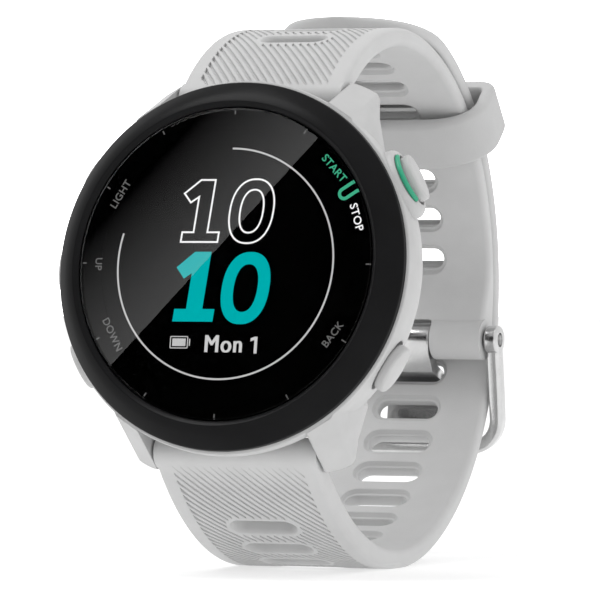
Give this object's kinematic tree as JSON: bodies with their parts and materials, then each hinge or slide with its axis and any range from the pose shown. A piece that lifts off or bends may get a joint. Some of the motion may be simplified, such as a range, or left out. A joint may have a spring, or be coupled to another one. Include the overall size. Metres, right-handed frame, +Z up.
{
  "type": "gps running watch",
  "caption": "Round-cased running watch with side buttons, lugs and a slotted silicone strap, buckled in a closed loop as on a wrist and standing on the bend of its strap.",
  "frame": {"origin": "centre of the small flat patch on the outside of the strap that the buckled watch stands on", "axes": "+X towards 3 o'clock, +Y from the dial back through the strap loop, +Z up"},
  "size_m": [0.0442, 0.0651, 0.0643],
  "materials": {
    "pale_plastic": "fine matt texture",
    "pale_silicone": "soft matt",
    "black_plastic": "satin",
    "lens_glass": "polished",
    "display": "glossy",
    "green_accent": "satin",
    "steel": "polished with bevelled edges",
    "circuit_board": "solder resist",
    "battery_foil": "foil",
    "seal_rubber": "matt",
    "ceramic": "fired ceramic",
    "contact_gold": "gold plated",
    "smoked_window": "polished, smoked"
  },
  "bodies": {
    "head_and_straps": {"back_button_seal": "seal_rubber", "back_switch": "steel", "battery": "battery_foil", "bezel": "black_plastic", "buzzer": "contact_gold", "case_body": "pale_plastic", "charging_contact_1": "contact_gold", "charging_contact_2": "contact_gold", "charging_contact_3": "contact_gold", "charging_contact_4": "contact_gold", "contact_carrier": "black_plastic", "cover_screw_1": "steel", "cover_screw_2": "steel", "cover_screw_3": "steel", "cover_screw_4": "steel", "display_panel": "display", "display_tray": "black_plastic", "down_button_seal": "seal_rubber", "down_switch": "steel", "gps_antenna": "ceramic", "left_green_led": "green_accent", "lens": "lens_glass", "light_button_seal": "seal_rubber", "light_switch": "steel", "lower_spring_bar": "steel", "lower_strap": "pale_silicone", "main_board": "circuit_board", "photodiode": "display", "rear_cover": "black_plastic", "rear_seal": "seal_rubber", "right_green_led": "green_accent", "sensor_board": "circuit_board", "sensor_window": "smoked_window", "start_accent": "green_accent", "start_button_seal": "seal_rubber", "start_switch": "steel", "up_button_seal": "seal_rubber", "up_switch": "steel", "upper_spring_bar": "steel", "upper_strap": "pale_silicone", "vibration_motor": "steel"},
    "light_button": {"light_button": "pale_plastic"},
    "up_button": {"up_button": "pale_plastic"},
    "down_button": {"down_button": "pale_plastic"},
    "start_button": {"start_button": "pale_plastic"},
    "back_button": {"back_button": "pale_plastic"},
    "upper_release_pin": {"upper_release_pin": "steel"},
    "lower_release_pin": {"lower_release_pin": "steel"},
    "buckle_frame": {"buckle_frame": "steel", "buckle_pin": "steel"},
    "buckle_tongue": {"buckle_tongue": "steel"},
    "strap_keeper": {"strap_keeper": "pale_silicone"}
  },
  "joints": [
    {"name": "light_button_press", "type": "slide", "parent": "head_and_straps", "child": "light_button", "axis": [0.866, -0.0879, -0.4922], "range_m": [0, 0.0006], "stiffness_N_per_m": 2500, "springref_m": -0.0005},
    {"name": "up_button_press", "type": "slide", "parent": "head_and_straps", "child": "up_button", "axis": [1, 0, 0], "range_m": [0, 0.0006], "stiffness_N_per_m": 2500, "springref_m": -0.0005},
    {"name": "down_button_press", "type": "slide", "parent": "head_and_straps", "child": "down_button", "axis": [0.866, 0.0879, 0.4922], "range_m": [0, 0.0006], "stiffness_N_per_m": 2500, "springref_m": -0.0005},
    {"name": "start_button_press", "type": "slide", "parent": "head_and_straps", "child": "start_button", "axis": [-0.8829, -0.0825, -0.4622], "range_m": [0, 0.0006], "stiffness_N_per_m": 2500, "springref_m": -0.0005},
    {"name": "back_button_press", "type": "slide", "parent": "head_and_straps", "child": "back_button", "axis": [-0.866, 0.0879, 0.4922], "range_m": [0, 0.0006], "stiffness_N_per_m": 2500, "springref_m": -0.0005},
    {"name": "upper_release_slide", "type": "slide", "parent": "head_and_straps", "child": "upper_release_pin", "axis": [-1, 0, 0], "range_m": [0, 0.0015], "stiffness_N_per_m": 500, "springref_m": -0.001},
    {"name": "lower_release_slide", "type": "slide", "parent": "head_and_straps", "child": "lower_release_pin", "axis": [-1, 0, 0], "range_m": [0, 0.0015], "stiffness_N_per_m": 500, "springref_m": -0.001},
    {"name": "buckle_swing", "type": "hinge", "parent": "head_and_straps", "child": "buckle_frame", "pos_m": [0, 0.02633, 0.02597], "axis": [1, 0, 0], "range_deg": [0, 3]},
    {"name": "tongue_swing", "type": "hinge", "parent": "buckle_frame", "child": "buckle_tongue", "pos_m": [0, 0.02633, 0.02597], "axis": [1, 0, 0], "range_deg": [0, 2]},
    {"name": "keeper_slide", "type": "hinge", "parent": "head_and_straps", "child": "strap_keeper", "pos_m": [0, 0, 0.03281], "axis": [1, 0, 0], "range_deg": [-27, 20]}
  ]
}
